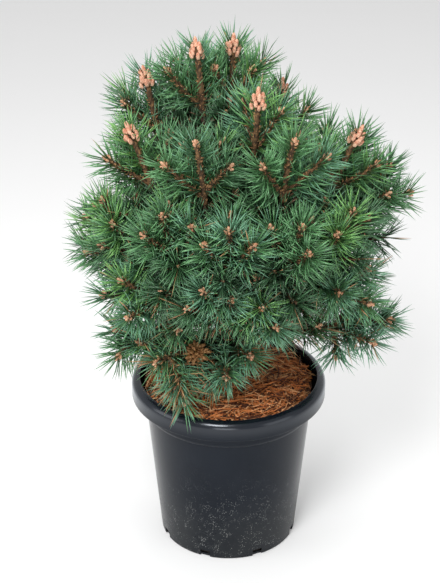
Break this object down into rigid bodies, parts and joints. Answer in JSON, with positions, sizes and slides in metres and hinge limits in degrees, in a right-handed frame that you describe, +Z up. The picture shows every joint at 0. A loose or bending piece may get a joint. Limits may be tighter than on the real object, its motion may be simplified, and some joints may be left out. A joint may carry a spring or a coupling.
{
  "type": "mugo pine in a nursery pot",
  "caption": "Bushy dwarf pine with upright candle-tipped shoots, standing in a tapering black plastic nursery pot.",
  "frame": {"origin": "middle of the pot's flat underside, on the surface that the pot stands on", "axes": "+Z up the plant, -Y towards the front of the picture's view, +X to its right"},
  "size_m": [0.5858, 0.5554, 0.8839],
  "materials": {
    "pot_plastic": "satin blue-black moulded plastic, dusty towards the foot",
    "soil": "dark fibrous potting substrate",
    "litter": "loose orange-brown dead needles",
    "bark": "rough orange-brown to dark brown bark with leaf-scale bases",
    "needles": "waxy dark green needles"
  },
  "bodies": {
    "root": {"bough_belly_1": "bark", "bough_belly_2": "bark", "bough_belly_3": "bark", "bough_belly_4": "bark", "bough_belly_5": "bark", "bough_belly_6": "bark", "bough_drooping": "bark", "bough_long_right": "bark", "bough_low_front": "bark", "bough_low_left": "bark", "bough_shoulder_1": "bark", "bough_shoulder_2": "bark", "bough_shoulder_3": "bark", "bough_shoulder_4": "bark", "bough_shoulder_5": "bark", "bough_shoulder_6": "bark", "bough_shoulder_7": "bark", "bough_waist_1": "bark", "bough_waist_2": "bark", "bough_waist_3": "bark", "bough_waist_4": "bark", "bough_waist_5": "bark", "bough_waist_6": "bark", "bough_waist_7": "bark", "bough_waist_8": "bark", "bough_waist_9": "bark", "foliage_apex_1": "needles", "foliage_apex_2": "needles", "foliage_apex_3": "needles", "foliage_belly_1": "needles", "foliage_belly_2": "needles", "foliage_belly_3": "needles", "foliage_belly_4": "needles", "foliage_belly_5": "needles", "foliage_belly_6": "needles", "foliage_drooping": "needles", "foliage_long_right": "needles", "foliage_low_front": "needles", "foliage_low_left": "needles", "foliage_shoulder_1": "needles", "foliage_shoulder_2": "needles", "foliage_shoulder_3": "needles", "foliage_shoulder_4": "needles", "foliage_shoulder_5": "needles", "foliage_shoulder_6": "needles", "foliage_shoulder_7": "needles", "foliage_waist_1": "needles", "foliage_waist_2": "needles", "foliage_waist_3": "needles", "foliage_waist_4": "needles", "foliage_waist_5": "needles", "foliage_waist_6": "needles", "foliage_waist_7": "needles", "foliage_waist_8": "needles", "foliage_waist_9": "needles", "litter": "litter", "pot": "pot_plastic", "root_ball": "soil", "trunk": "bark"}
  },
  "joints": []
}
